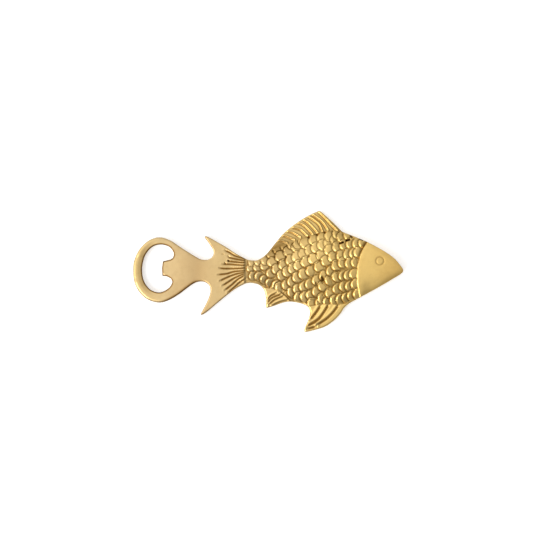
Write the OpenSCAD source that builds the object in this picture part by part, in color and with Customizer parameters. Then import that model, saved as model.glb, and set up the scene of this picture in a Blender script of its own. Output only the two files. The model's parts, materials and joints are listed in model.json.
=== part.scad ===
// Fish-shaped bottle opener, cast in brass in one pour.
// The casting lies on its flat back in the XY plane, head towards +X, dorsal fin towards +Y,
// and the origin is the middle of its bounding box on the back. It is drawn as the regions
// that it is cast in, each a closed solid that meets its neighbours face to face.

/* [Overall] */
// Length from the outside of the opener ring to the nose
length = 165; // [140:1:190]

/* [Opener] */
// Thickness of the opener ring
ring_t = 4.6; // [3.6:0.1:5.6]
// Thickness of the tooth that lifts the cap
tooth_t = 4.2; // [3.2:0.1:5]
// Thickness of the neck between ring and tail
neck_t = 4.6; // [3.6:0.1:5.6]

/* [Tail] */
// Thickness of the tail fin where it joins the neck
tail_t = 4.6; // [3.6:0.1:5.6]
// Angle at which the tail fin thickens towards the body
tail_rise = 1.6; // [0.5:0.1:2.5]
// How far the tail root stands below the crest of the body
root_drop = 0.3; // [0.1:0.1:0.8]

/* [Body] */
// Height of the body's crest at its tail end
crest_tail = 6.2; // [5:0.1:7]
// Angle at which the crest rises towards the head
crest_rise = 2.3; // [1:0.1:3]
// Radius of a scale
scale_r = 3.3; // [2.8:0.1:3.8]
// Distance between scales along a row
scale_pitch = 4.1; // [3.6:0.1:4.6]
// Distance between rows of scales
row_pitch = 6.4; // [6:0.1:7]
// Angle at which a scale lifts towards the tail
scale_lift = 8; // [5:1:11]

/* [Head] */
// Height of the head's crest at the gill
crest_gill = 8.6; // [7:0.1:9.5]
// Angle at which the crest falls towards the nose
crest_fall = 3; // [2:0.5:7]
// How far the gill rim stands above the head
rim_lift = 0.4; // [0.2:0.1:0.8]
// Radius of the eye
eye_r = 2.8; // [2:0.1:3.5]

/* [Fins] */
// Thickness of the dorsal fin at its root
dorsal_t = 4.4; // [3.6:0.1:5.2]
// Thickness of the anal and pelvic fins at their roots
belly_fin_t = 4.2; // [3.4:0.1:5]
// Angle at which the fins thin towards their tips
fin_fall = 4; // [2:0.5:5]
// Depth of the grooves between fin rays
groove_depth = 0.6; // [0.3:0.1:0.9]

/* [Hidden] */

// The outline's points are laid out for a casting of this length
drawn_length = 165;
plan = length / drawn_length;
// Straight steps that each stretch of a curve is cut into
steps = 6;
// Larger than any part, for the blocks and cones that trim the tops
reach = 120;
$fn = 96;

brass = [0.83, 0.68, 0.45];
pale_brass = [0.88, 0.75, 0.52];
deep_brass = [0.72, 0.56, 0.33];

// A smooth curve through points: each stretch is a cubic whose slope at a point is that of
// the line between its two neighbours
function cubic(a, b, c, d, t) =
    b + (c - a) * t / 2 + (2 * a - 5 * b + 4 * c - d) * t * t / 2
    + (3 * b - a - 3 * c + d) * t * t * t / 2;
function neighbour(p, i) =
    i < 0 ? 2 * p[0] - p[1] :
    i >= len(p) ? 2 * p[len(p) - 1] - p[len(p) - 2] : p[i];
function curve(p) = [
    for (i = [0 : len(p) - 2], s = [0 : steps - 1])
        cubic(neighbour(p, i - 1), p[i], p[i + 1], neighbour(p, i + 2), s / steps),
    p[len(p) - 1]
];
// The stretch of a curve from one of its points to another, in either direction
function stretch(c, from, to) =
    from < to ? [for (i = [from * steps : to * steps]) c[i]]
    : [for (i = [from * steps : -1 : to * steps]) c[i]];
function reversed(p) = [for (i = [len(p) - 1 : -1 : 0]) p[i]];
function lowest(p, axis) = min([for (q = p) q[axis]]);
function highest(p, axis) = max([for (q = p) q[axis]]);

// From the upper tip of the tail round the opener ring to the lower tip of the tail
rear_points = [
    [-38.9, 21], [-36.5, 17.8], [-34, 14], [-33.2, 11], [-34.6, 8.4], [-37.2, 7.2], [-40, 7.3],
    [-42, 7.9], [-45, 9.6], [-50, 12.7], [-55, 16], [-60, 19.2], [-66.5, 21], [-73, 19],
    [-78.5, 13.8], [-81.8, 7], [-82.5, 1], [-81.8, -6], [-79, -12], [-74, -16.8], [-67, -19],
    [-61, -17.6], [-55, -14.2], [-50, -10.5], [-46, -7.6], [-43, -6.3], [-40, -6.1],
    [-37.5, -7], [-35.6, -9], [-35.2, -12], [-36, -15.5], [-38, -20], [-41.2, -26],
];
upper_neck_end = 6;
upper_ring_end = 10;
lower_ring_end = 22;
lower_neck_end = 26;
lower_tip = len(rear_points) - 1;

// The hole in the ring, from one root of the tooth to the other
hole_points = [
    [-59.8, 7.2], [-58.2, 8.3], [-57.5, 10.5], [-58.4, 13], [-61, 15.5], [-66, 16.6],
    [-71, 15], [-75, 10.3], [-76.8, 4.5], [-77, -1], [-75.6, -6.5], [-72, -11], [-67, -12.8],
    [-63, -11.8], [-60, -9.5], [-58.5, -6.5], [-59.4, -4.2],
];
upper_ear = 2;
lower_ear = 15;
tooth_points = [[-59.4, -4.2], [-62, -2.8], [-64.6, -2.6], [-64.8, 2], [-64.3, 6.2], [-59.8, 7.2]];

// From the upper tip of the tail over the back to the front of the dorsal fin
top_points = [
    [-38.9, 21], [-38.2, 21.7], [-36, 20.9], [-30, 17.5], [-25, 14.6], [-20, 11.3],
    [-14.5, 8.2], [-12.3, 7.3], [-10, 6.9], [-7, 6.9], [-3.5, 8.5], [0, 11.7], [5, 18],
    [10, 23.8], [17.5, 29.8], [25, 34.4], [30.5, 36.9], [31.8, 37], [33.5, 36], [40, 30],
    [45.5, 24.4],
];
upper_root_rear = 6;
upper_root_front = 7;
dorsal_rear = 11;
dorsal_front = len(top_points) - 1;

// From the front of the dorsal fin round the nose to the front of the pelvic fin
nose_points = [
    [45.5, 24.4], [50, 22.6], [56, 20.1], [60.5, 18.1], [62.2, 17.2], [70, 12.9], [77, 8],
    [81.5, 2.7], [82.5, 0.7], [81.8, -1], [78, -3.6], [70, -8.3], [63, -12.3], [57.4, -15.3],
    [56, -16.1], [50, -19.3],
];
upper_gill_rear = 3;
upper_gill_front = 4;
lower_gill_front = 13;
lower_gill_rear = 14;
pelvic_front = len(nose_points) - 1;

// From the front of the pelvic fin along the belly to the lower tip of the tail
belly_points = [
    [50, -19.3], [46.7, -22.2], [44.5, -25.6], [40.5, -29.9], [35, -33.7], [29, -35.7],
    [23.3, -37], [22.3, -36.2], [22.8, -34], [25, -28.8], [25.7, -24.5], [24.6, -21.6],
    [22, -20.1], [18, -19], [13.5, -18.4], [9, -19.1], [4, -20.9], [0, -22.1], [-1.2, -21.5],
    [-1.2, -17], [-1.8, -13], [-3.2, -10], [-6, -7.9], [-10, -7], [-12.5, -7.1],
    [-14.5, -7.7], [-20, -10.6], [-27, -16], [-33, -21], [-37.5, -24.8], [-40.4, -26.5],
    [-41.2, -26],
];
pelvic_rear = 11;
anal_front = 14;
anal_rear = 21;
lower_root_front = 24;
lower_root_rear = 25;
tail_tip = len(belly_points) - 1;

// Borders between regions, each drawn once and used by both sides
root_rear_points = [[-14.5, 8.2], [-15, 4.5], [-15.2, 0.5], [-14.8, -4], [-14.5, -7.7]];
root_front_points = [[-12.3, 7.3], [-12.9, 4], [-13.1, 0.5], [-12.8, -4], [-12.5, -7.1]];
dorsal_base_points = [
    [0, 11.7], [4, 13.8], [8, 15.4], [13, 17.2], [20, 20], [27.5, 22.3], [34, 24.2], [40, 25],
    [45.5, 24.4],
];
anal_base_points = [[-3.2, -10], [1, -10.4], [5, -11.4], [8, -13], [11, -15.5], [13.5, -18.4]];
pelvic_base_points = [[24.6, -21.6], [30, -20.6], [36, -20], [43, -20.3], [50, -19.3]];
gill_rear_points = [
    [60.5, 18.1], [59.6, 16.6], [57, 12], [55, 5.5], [54.2, 0], [54.4, -8], [56, -16.1],
];
gill_front_points = [
    [62.2, 17.2], [61, 15.6], [58.4, 11.4], [56.3, 5.3], [55.5, 0], [55.7, -8], [57.4, -15.3],
];

// The rays of each fin, as the ends of the grooves between them
tail_rays = [
    [[-15.5, 7.2], [-26.5, 12.7]], [[-16, 6], [-24, 9.3]], [[-15.5, 4.9], [-24, 6.5]],
    [[-15.5, 3.4], [-27.5, 4.1]], [[-15.5, 1.8], [-29.3, 1.8]], [[-15.5, 0.2], [-30, -2]],
    [[-15.5, -1.2], [-29, -5.7]], [[-15.5, -2.6], [-27.5, -8.8]],
    [[-15.5, -4.2], [-26.3, -11.3]], [[-15.5, -5.8], [-25.5, -13.5]],
];
dorsal_rays = [
    [[6, 18], [10.5, 16.8]], [[8.4, 21.1], [15, 18.4]], [[11.6, 24.4], [19.2, 20.5]],
    [[15, 27], [24, 21.6]], [[18.5, 29.4], [27.5, 22.8]], [[22, 31.6], [31.5, 24]],
    [[25.3, 33.5], [34.8, 25]], [[28.4, 35], [38.3, 25.6]], [[31.4, 35.8], [41.4, 26]],
];
anal_rays = [[[-0.5, -15.2], [4.5, -12.4]], [[0.2, -17.6], [7.8, -13.8]], [[1.5, -19.4], [10.6, -16.2]]];
pelvic_rays = [[[32, -21.5], [25.6, -29.4]], [[38, -21.5], [24.6, -33.4]], [[43.6, -22.2], [27.5, -34]]];
eye_centre = [68.3, 6.3];

rear = curve(rear_points);
hole = curve(hole_points);
top_edge = curve(top_points);
nose = curve(nose_points);
belly = curve(belly_points);
root_rear = curve(root_rear_points);
root_front = curve(root_front_points);
dorsal_base = curve(dorsal_base_points);
anal_base = curve(anal_base_points);
pelvic_base = curve(pelvic_base_points);
gill_rear = curve(gill_rear_points);
gill_front = curve(gill_front_points);

// The outline's box is centred on the origin
outline = concat(rear, top_edge, nose, belly);
middle = [
    (lowest(outline, 0) + highest(outline, 0)) / 2,
    (lowest(outline, 1) + highest(outline, 1)) / 2,
];
function placed(p) = (p - middle) * plan;

ring_region = concat(
    stretch(rear, upper_ring_end, lower_ring_end), stretch(hole, lower_ear, upper_ear));
neck_region = concat(
    stretch(rear, upper_neck_end, upper_ring_end), stretch(hole, upper_ear, 0),
    stretch(hole, len(hole_points) - 1, lower_ear), stretch(rear, lower_ring_end, lower_neck_end));
tail_region = concat(
    stretch(rear, upper_neck_end, 0), stretch(top_edge, 0, upper_root_rear), root_rear,
    stretch(belly, lower_root_rear, tail_tip), stretch(rear, lower_tip, lower_neck_end));
root_region = concat(
    stretch(top_edge, upper_root_rear, upper_root_front), root_front,
    stretch(belly, lower_root_front, lower_root_rear), reversed(root_rear));
body_region = concat(
    stretch(top_edge, upper_root_front, dorsal_rear), dorsal_base,
    stretch(nose, 0, upper_gill_rear), gill_rear, stretch(nose, lower_gill_rear, pelvic_front),
    reversed(pelvic_base), stretch(belly, pelvic_rear, anal_front), reversed(anal_base),
    stretch(belly, anal_rear, lower_root_front), reversed(root_front));
dorsal_region = concat(stretch(top_edge, dorsal_rear, dorsal_front), reversed(dorsal_base));
anal_region = concat(stretch(belly, anal_front, anal_rear), anal_base);
pelvic_region = concat(stretch(belly, 0, pelvic_rear), pelvic_base);
rim_region = concat(
    stretch(nose, upper_gill_rear, upper_gill_front), gill_front,
    stretch(nose, lower_gill_front, lower_gill_rear), reversed(gill_rear));
head_region = concat(stretch(nose, upper_gill_front, lower_gill_front), reversed(gill_front));

// Rows of scales are numbered from the one that meets the gill at its middle. Near the head they
// run level, and from row_turn_x they bend down towards the tail.
row_zero_y = 4.3;
row_turn_x = 46;
row_bend = 5;
row_slope = 0.5;
first_row = -3;
last_row = 6;
// Where each row starts at the head, and how many scales it can hold
row_start = 51;
row_shift = 0.5;
scales_in_row = 15;
// A scale is a thick twelve-sided disc, half sunk in the dome
scale_sides = 12;
scale_t = 1.6;
scale_proud = 0.1;

// The dome of the body is a cone lying on its side: its crest leaves the apex, which is beyond
// the tail root, and rises towards the head
body_apex_x = -32;
body_crest_x = -14;
body_half_angle = 37;
body_heading = 1.5;
// The dome of the head is a wider cone, whose apex is in front of the nose
head_apex = [98, 1];
head_crest_x = 55;
head_half_angle = 58;
head_heading = 180;

module slab(region, t) {
    linear_extrude(t) polygon([for (p = region) placed(p)]);
}

// A block whose flat top passes through [at, t] and falls towards heading
module sloped_block(at, t, heading, fall) {
    translate([placed(at).x, placed(at).y, t]) rotate([0, fall, heading])
        translate([-reach, -reach, -reach]) cube([2 * reach, 2 * reach, reach]);
}

module sloped_slab(region, at, t, heading, fall) {
    intersection() {
        slab(region, 2 * t);
        sloped_block(at, t, heading, fall);
    }
}

// A cone whose upper side is a straight crest, leaving the apex at an angle above level
module crest_cone(apex, apex_z, heading, half_angle, rise) {
    translate([placed(apex).x, placed(apex).y, apex_z]) rotate([0, 90 + half_angle - rise, heading])
        cylinder(h = reach, r1 = 0, r2 = reach * tan(half_angle));
}

module body_dome(lift = 0) {
    apex_z = crest_tail - (body_crest_x - body_apex_x) * plan * tan(crest_rise);
    crest_cone([body_apex_x, 0], apex_z + lift, body_heading, body_half_angle, crest_rise);
}

module head_dome(lift = 0) {
    apex_z = crest_gill - (head_apex.x - head_crest_x) * plan * tan(crest_fall);
    crest_cone(head_apex, apex_z + lift, head_heading, head_half_angle, crest_fall);
}

// Grooves with a V section, cut along rays in a top that falls towards heading
module grooves(rays, at, t, heading, fall) {
    side = groove_depth * sqrt(2);
    toward = [cos(heading), sin(heading)];
    for (ray = rays) {
        ends = [for (p = ray) let (q = placed(p)) [q.x, q.y, t - (q - placed(at)) * toward * tan(fall)]];
        run = ends[1] - ends[0];
        translate(ends[0])
            rotate([0, -asin(run.z / norm(run)), atan2(run.y, run.x)]) rotate([45, 0, 0])
                translate([0, -side / 2, -side / 2]) cube([norm(run), side, side]);
    }
}

module opener_ring() {
    color(pale_brass) slab(ring_region, ring_t);
}

module cap_tooth() {
    color(brass) slab(tooth_points, tooth_t);
}

module neck() {
    color(brass) slab(neck_region, neck_t);
}

module tail_fin() {
    at = rear_points[upper_neck_end];
    color(brass) difference() {
        sloped_slab(tail_region, at, tail_t, 180, tail_rise);
        grooves(tail_rays, at, tail_t, 180, tail_rise);
    }
}

module tail_root() {
    color(pale_brass) intersection() {
        slab(root_region, 2 * crest_tail);
        body_dome(-root_drop);
    }
}

// Height of the body dome over a point of the plan, and how steeply it falls to the sides there
function crest_radius(x) = (x - body_apex_x) * plan * tan(body_half_angle);
function crest_height(x) = crest_tail + (x - body_crest_x) * plan * tan(crest_rise);
function dome_height(p) = crest_height(p.x) - p.y * plan * p.y * plan / (2 * crest_radius(p.x));
function dome_tilt(p) = -atan(p.y * plan / crest_radius(p.x));

// Rows of scales run level near the head and turn down towards the tail
function row_y(j, x) =
    row_zero_y + row_pitch * j
    - row_slope * row_bend * ln(1 + exp((row_turn_x - x) / row_bend));
function scale_places() = [
    for (j = [first_row : last_row], i = [0 : scales_in_row])
        let (x = row_start + row_shift * j - scale_pitch * i, p = [x, row_y(j, x)])
            if (inside(p, body_region)) p
];

// Whether a point lies inside an outline: a level line from it crosses the outline an odd
// number of times
function is_crossed(p, a, b) =
    (a.y > p.y) != (b.y > p.y) && p.x < a.x + (p.y - a.y) / (b.y - a.y) * (b.x - a.x);
function crossings(p, region) = len([
    for (i = [0 : len(region) - 1])
        if (is_crossed(p, region[i], region[(i + 1) % len(region)])) i
]);
function inside(p, region) = crossings(p, region) % 2 == 1;

// One scale, tilted with the dome under it and lifted at the edge that faces the tail
module fish_scale(p) {
    translate([placed(p).x, placed(p).y, dome_height(p) + scale_proud])
        rotate([dome_tilt(p), scale_lift - crest_rise, 0])
            translate([0, 0, -scale_t]) cylinder(h = scale_t, r = scale_r * plan, $fn = scale_sides);
}

module body() {
    color(deep_brass) intersection() {
        slab(body_region, 2 * crest_tail);
        union() {
            body_dome();
            for (p = scale_places()) fish_scale(p);
        }
    }
}

module dorsal_fin() {
    at = dorsal_base_points[4];
    heading = 106;
    color(brass) difference() {
        sloped_slab(dorsal_region, at, dorsal_t, heading, fin_fall);
        grooves(dorsal_rays, at, dorsal_t, heading, fin_fall);
    }
}

module anal_fin() {
    at = anal_base_points[3];
    heading = 240;
    color(brass) difference() {
        sloped_slab(anal_region, at, belly_fin_t, heading, fin_fall);
        grooves(anal_rays, at, belly_fin_t, heading, fin_fall);
    }
}

module pelvic_fin() {
    at = pelvic_base_points[2];
    heading = 250;
    color(brass) difference() {
        sloped_slab(pelvic_region, at, belly_fin_t, heading, fin_fall);
        grooves(pelvic_rays, at, belly_fin_t, heading, fin_fall);
    }
}

module gill_rim() {
    color(pale_brass) intersection() {
        slab(rim_region, 2 * crest_gill);
        head_dome(rim_lift);
    }
}

module head() {
    color(pale_brass) difference() {
        intersection() {
            slab(head_region, 2 * crest_gill);
            head_dome();
        }
        eye_plug(2 * crest_gill);
    }
}

// The eye is a round boss let into the head, with a ring engraved in it
eye_floor = 3;
ring_outer = 0.96;
ring_inner = 0.76;
ring_depth = 0.45;

module eye_plug(h) {
    translate([placed(eye_centre).x, placed(eye_centre).y, eye_floor]) cylinder(h = h, r = eye_r);
}

module eye() {
    color(brass) difference() {
        intersection() {
            eye_plug(2 * crest_gill);
            head_dome();
        }
        difference() {
            eye_plug(2 * crest_gill);
            head_dome(-ring_depth);
            translate([placed(eye_centre).x, placed(eye_centre).y, 0]) {
                cylinder(h = 2 * crest_gill, r = eye_r * ring_inner);
                difference() {
                    cylinder(h = 2 * crest_gill, r = eye_r + 1);
                    cylinder(h = 2 * crest_gill, r = eye_r * ring_outer);
                }
            }
        }
    }
}

opener_ring();
cap_tooth();
neck();
tail_fin();
tail_root();
body();
dorsal_fin();
anal_fin();
pelvic_fin();
gill_rim();
head();
eye();
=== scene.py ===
"""A cast brass fish bottle opener, lying on its flat back.

The opener is one casting. Each region of it is a closed mesh that stands on the outline of its
CAD node, and all of them take their tops from one relief, so neighbours meet without a step.
Lengths in this file are millimetres until they are handed to Blender.
"""

import json
import math

import bpy
import numpy as np
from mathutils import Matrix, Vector
from mathutils.geometry import delaunay_2d_cdt


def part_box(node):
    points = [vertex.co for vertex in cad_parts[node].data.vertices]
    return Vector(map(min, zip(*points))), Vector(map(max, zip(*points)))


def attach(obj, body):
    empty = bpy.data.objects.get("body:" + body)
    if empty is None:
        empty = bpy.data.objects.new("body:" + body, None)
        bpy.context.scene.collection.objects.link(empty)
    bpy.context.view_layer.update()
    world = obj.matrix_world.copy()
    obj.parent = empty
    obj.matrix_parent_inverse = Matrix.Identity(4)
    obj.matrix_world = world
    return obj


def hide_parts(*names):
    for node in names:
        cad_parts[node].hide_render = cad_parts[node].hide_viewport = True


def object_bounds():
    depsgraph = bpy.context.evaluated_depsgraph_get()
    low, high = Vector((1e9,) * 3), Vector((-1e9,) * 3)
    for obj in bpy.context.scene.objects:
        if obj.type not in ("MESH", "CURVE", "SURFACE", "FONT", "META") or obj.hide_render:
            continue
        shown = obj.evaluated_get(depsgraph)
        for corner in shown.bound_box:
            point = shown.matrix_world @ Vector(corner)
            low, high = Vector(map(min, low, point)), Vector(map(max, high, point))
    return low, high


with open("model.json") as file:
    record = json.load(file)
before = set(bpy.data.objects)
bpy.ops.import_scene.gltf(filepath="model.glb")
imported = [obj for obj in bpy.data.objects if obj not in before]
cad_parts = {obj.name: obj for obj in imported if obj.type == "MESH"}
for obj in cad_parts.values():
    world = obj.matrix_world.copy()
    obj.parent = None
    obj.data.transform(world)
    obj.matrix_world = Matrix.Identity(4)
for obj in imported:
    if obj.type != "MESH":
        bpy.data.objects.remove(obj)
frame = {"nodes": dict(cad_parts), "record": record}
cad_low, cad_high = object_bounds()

MM = 0.001
NODES = [
    "opener_ring", "cap_tooth", "neck", "tail_fin", "tail_root", "body", "dorsal_fin",
    "anal_fin", "pelvic_fin", "gill_rim", "head",
]
FLAT = ("opener_ring", "neck", "cap_tooth", "tail_fin")
DOMED = ("tail_root", "body", "gill_rim", "head", "eye")
HEAD = ("gill_rim", "head", "eye")
FINS = ("dorsal_fin", "anal_fin", "pelvic_fin")

# ---------------------------------------------------------------- outlines from the CAD nodes

# Points closer than this are one point
WELD = 0.02
# Twice the area of the largest triangle that is only rounding error along a straight border
SLIVER = 1e-4
# Longest step along an outline
EDGE_STEP = 0.3


def floor_outline(node):
    """The outline of the face that a node stands on, anticlockwise from above."""
    mesh = frame["nodes"][node].data
    co = np.empty(len(mesh.vertices) * 3)
    mesh.vertices.foreach_get("co", co)
    mesh.calc_loop_triangles()
    corners = np.empty(len(mesh.loop_triangles) * 3, int)
    mesh.loop_triangles.foreach_get("vertices", corners)
    points, index = np.unique(np.round(co.reshape(-1, 3) / MM, 3), axis=0, return_inverse=True)
    faces = index.ravel()[corners].reshape(-1, 3)
    floor = faces[(points[faces][:, :, 2] < WELD).all(1)]
    sides = np.concatenate([floor[:, [0, 1]], floor[:, [1, 2]], floor[:, [2, 0]]])
    used = set(map(tuple, sides.tolist()))
    after = {b: a for a, b in used if (b, a) not in used}
    start = min(after)
    loop = [start]
    while after[loop[-1]] != start:
        loop.append(after[loop[-1]])
    return points[loop][:, :2]


class Outlines:
    """The outline of every node over one list of corners, so that a shared border is known."""

    def __init__(self, nodes):
        self.corners = np.empty((0, 2))
        self.loops = {n: [self._corner(p) for p in floor_outline(n)] for n in nodes}
        owner = {side: n for n in nodes for side in self.sides(n)}
        self.neighbour = {s: owner.get((s[1], s[0])) for s in owner}
        self.silhouette = [s for s in owner if self.neighbour[s] is None]
        self.inward = np.zeros_like(self.corners)
        for a, b in self.silhouette:
            along = self.corners[b] - self.corners[a]
            normal = np.array([-along[1], along[0]]) / np.linalg.norm(along)
            self.inward[a] += normal
            self.inward[b] += normal

    def _corner(self, p):
        if len(self.corners):
            gap = np.linalg.norm(self.corners - p, axis=1)
            if gap.min() < WELD:
                return int(gap.argmin())
        self.corners = np.vstack([self.corners, p])
        return len(self.corners) - 1

    def fine(self, node):
        """A node's outline cut into short steps: points, inward normals, whether on the silhouette."""
        points, inward, open_side = [], [], []
        for a, b in self.sides(node):
            p, q = self.corners[a], self.corners[b]
            free = self.neighbour[(a, b)] is None
            count = max(1, math.ceil(np.linalg.norm(q - p) / EDGE_STEP))
            for k in range(count):
                t = k / count
                points.append(p * (1 - t) + q * t)
                n = self.inward[a] * (1 - t) + self.inward[b] * t
                on_silhouette = free or (k == 0 and np.any(self.inward[a]))
                size = np.linalg.norm(n)
                inward.append(n / size if on_silhouette and size > 0 else [0.0, 0.0])
                open_side.append(free)
        return np.array(points), np.array(inward), np.array(open_side)

    def sides(self, node):
        """A node's outline as pairs of corners."""
        loop = self.loops.get(node, [])
        return list(zip(loop, loop[1:] + loop[:1]))

    def sides_between(self, first, second):
        """The border between two groups of nodes, as pairs of points."""
        every = [side for node in first for side in self.sides(node)]
        return self.as_segments([side for side in every if self.neighbour[side] in second])

    def borders(self, node):
        """A node's borders with its neighbours."""
        return self.as_segments([s for s in self.sides(node) if self.neighbour[s] is not None])

    def as_segments(self, sides):
        return np.array([[self.corners[a], self.corners[b]] for a, b in sides])

    def silhouette_loops(self):
        """The silhouette as closed loops of segments, the shortest first."""
        after = dict(self.silhouette)
        loops = []
        while after:
            a, b = after.popitem()
            loop = [(a, b)]
            while b in after:
                a, b = b, after.pop(b)
                loop.append((a, b))
            loops.append(self.as_segments(loop))
        return sorted(loops, key=len)


def distance(points, segments):
    """Each point's distance to the nearest of a set of segments."""
    best = np.full(len(points), np.inf)
    for a, b in segments:
        along = b - a
        t = np.clip((points - a) @ along / (along @ along), 0, 1)
        gap = points - a - t[:, None] * along
        best = np.minimum(best, np.einsum("ij,ij->i", gap, gap))
    return np.sqrt(best)


def inside(points, loop):
    """Whether each point is inside a closed outline."""
    odd = np.zeros(len(points), bool)
    x, y = points[:, 0], points[:, 1]
    for (ax, ay), (bx, by) in zip(loop, np.roll(loop, -1, axis=0)):
        if ay == by:
            continue
        crosses = ((ay > y) != (by > y)) & (x < ax + (y - ay) / (by - ay) * (bx - ax))
        odd ^= crosses
    return odd


outlines = Outlines(NODES)
silhouette = outlines.as_segments(outlines.silhouette)
fin_bases = outlines.sides_between(FINS, ("body",))
dorsal_base = outlines.sides_between(("dorsal_fin",), ("body",))
root_line = outlines.sides_between(("tail_root",), ("tail_fin",))
gill_line = outlines.sides_between(("gill_rim",), ("body",))

mouth_edge, outer_edge = outlines.silhouette_loops()
# The outer outline runs anticlockwise, so the sides that run towards +X are its lower edge
outer_run = outer_edge[:, 1] - outer_edge[:, 0]
lower_edge = outer_edge[outer_run[:, 0] > 0.5 * np.linalg.norm(outer_run, axis=1)]

eye_low, eye_high = (np.array(c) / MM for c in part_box("eye"))
EYE = (eye_low[:2] + eye_high[:2]) / 2
EYE_R = (eye_high[0] - eye_low[0]) / 2
EYE_FLOOR = eye_low[2]

# ---------------------------------------------------------------- the relief


def smooth(t):
    """0 below 0, 1 above 1, and an even curve between."""
    t = np.clip(t, 0, 1)
    return t * t * (3 - 2 * t)


def ramp(x, start, end):
    """A smooth rise from 0 at start to 1 at end."""
    return smooth((x - start) / (end - start))


def span(x, rise, fall):
    """1 along a stretch that has a ramp at either end, each given as where it is 0 and 1."""
    return ramp(x, *rise) * ramp(x, *fall)


def blend(low, high, share):
    """The first value where the share is 0, and the second where it is 1."""
    return low + (high - low) * share


def hump(d, width):
    """1 at distance 0, and fading over a width."""
    return np.exp(-((d / width) ** 2))


# Carving that fades out at an edge still has a little of its height there
FADE_START = 0.3


def fade_in(d, width):
    """A smooth rise with distance: a fifth at 0, and full at seven tenths of the width."""
    return smooth(FADE_START + d / width)


def noise(xy, cell, seed):
    """Even random undulation from -1 to 1, with bumps about a cell across."""
    values = np.random.default_rng(seed).uniform(-1, 1, (64, 64))
    g = xy / cell + 32
    i = np.floor(g).astype(int)
    f = g - i
    f = f * f * (3 - 2 * f)
    i %= 64
    j = (i + 1) % 64
    low = values[i[:, 0], i[:, 1]] * (1 - f[:, 0]) + values[j[:, 0], i[:, 1]] * f[:, 0]
    high = values[i[:, 0], j[:, 1]] * (1 - f[:, 0]) + values[j[:, 0], j[:, 1]] * f[:, 0]
    return low * (1 - f[:, 1]) + high * f[:, 1]


def curve(points, per_span=8):
    """Points along a smooth curve through a few given ones."""
    p = np.array(points, float)
    p = np.vstack([2 * p[0] - p[1], p, 2 * p[-1] - p[-2]])
    t = np.arange(per_span)[:, None] / per_span
    spans = [
        b + 0.5 * t * (c - a + t * (2 * a - 5 * b + 4 * c - d + t * (3 * b - a - 3 * c + d)))
        for a, b, c, d in zip(p, p[1:], p[2:], p[3:])
    ]
    return np.vstack([*spans, p[-2]])


# Height of the crest, from the tail to the nose
crest_line = curve([(-26, 5.5), (-14, 6.3), (10, 7.3), (34, 8.2), (54, 8.5), (70, 8.45), (83, 7.7)])
# Thickness of the handle, the tooth, the root of the tail, and the base of the body and its fins
PLATE_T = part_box("neck")[1].z / MM
TOOTH_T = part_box("cap_tooth")[1].z / MM
ROOT_PLATE_T = 4.9
BODY_PLATE_T = 4.3
# Along X, from where to where the tail and the base of the body thicken towards the tail's root
TAIL_RISE = (-36, -16)
BODY_RISE = (-4, -14)
# What a fin loses in thickness with every millimetre from the body
FIN_FALL = 0.07
# The handle dips a little at its waist
WAIST_X = -40
WAIST_DIP = 0.25
WAIST_WIDTH = 6.5
# Around the tooth the handle thins to the tooth's thickness: from where to where along X, and how
# far to either side of the tooth's middle it is full and has ended
TOOTH_Y = 2
TOOTH_START = (-52, -65)
TOOTH_SIDE = (6, 9)


def plate(xy, node):
    """Height of the flat parts, and of the fins where they leave the body."""
    x = xy[:, 0]
    if node in FLAT:
        t = blend(PLATE_T, ROOT_PLATE_T, ramp(x, *TAIL_RISE))
        t = t - WAIST_DIP * hump(x - WAIST_X, WAIST_WIDTH)
        at_tooth = ramp(x, *TOOTH_START) * (1 - ramp(np.abs(xy[:, 1] - TOOTH_Y), *TOOTH_SIDE))
        return t - (PLATE_T - TOOTH_T) * at_tooth
    t = blend(BODY_PLATE_T, ROOT_PLATE_T, ramp(x, *BODY_RISE))
    if node in FINS:
        t = t - FIN_FALL * distance(xy, outlines.sides_between((node,), ("body",)))
    return t


# The dome's radius across the fish and the middle of its crest: at the tail root, and how much
# either gains with every millimetre towards the nose
ROOT_X = -14
DOME_RADIUS = (20, 0.75)
DOME_MIDDLE = (0, 0.03)
# Along X, from where to where the dome rises out of the tail
TAIL_DOME = (-25, -15)
# The dome sinks to the fins over the first width, and droops at the silhouette over the second
FIN_BLEND = 6
EDGE_BLEND = 3
EDGE_DROOP = 0.3


def dome(xy, node):
    """Height of the rounded body and head above the plate."""
    x, y = xy[:, 0], xy[:, 1]
    radius, middle = (start + gain * (x - ROOT_X) for start, gain in (DOME_RADIUS, DOME_MIDDLE))
    round_z = np.interp(x, *crest_line.T) - (y - middle) ** 2 / (2 * radius)
    at_fin = 1 - (1 - np.clip(distance(xy, fin_bases) / FIN_BLEND, 0, 1)) ** 2
    at_edge = EDGE_DROOP * (1 - np.clip(distance(xy, silhouette) / EDGE_BLEND, 0, 1)) ** 2
    return (round_z - at_edge - plate(xy, node)) * at_fin


# Radius of the rounding along the silhouette: in the mouth, elsewhere, and what the ring has more
# and the tail and the head have less
MOUTH_RADIUS = 0.6
OUTER_RADIUS = 1.0
RING_MORE = 0.4
TAIL_LESS = 0.3
HEAD_LESS = 0.6
# Along X, where each of those starts to tell and where it does so fully
RING_START = (-58, -68)
TAIL_SPAN = ((-40, -34), (-12, -16))
HEAD_START = (52, 58)
# The bevel inside the ring: width, depth, how it curves, and from where to where along X it grows
BEVEL_WIDTH = 3.2
BEVEL_DEPTH = 0.45
BEVEL_CURVE = 1.5
BEVEL_START = (-66, -76)


def bullnose(d, r):
    """How far a rounded edge of radius r has dropped, at distance d from the edge."""
    t = np.clip(1 - d / r, 0, 1)
    return r * (1 - np.sqrt(1 - t * t))


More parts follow.
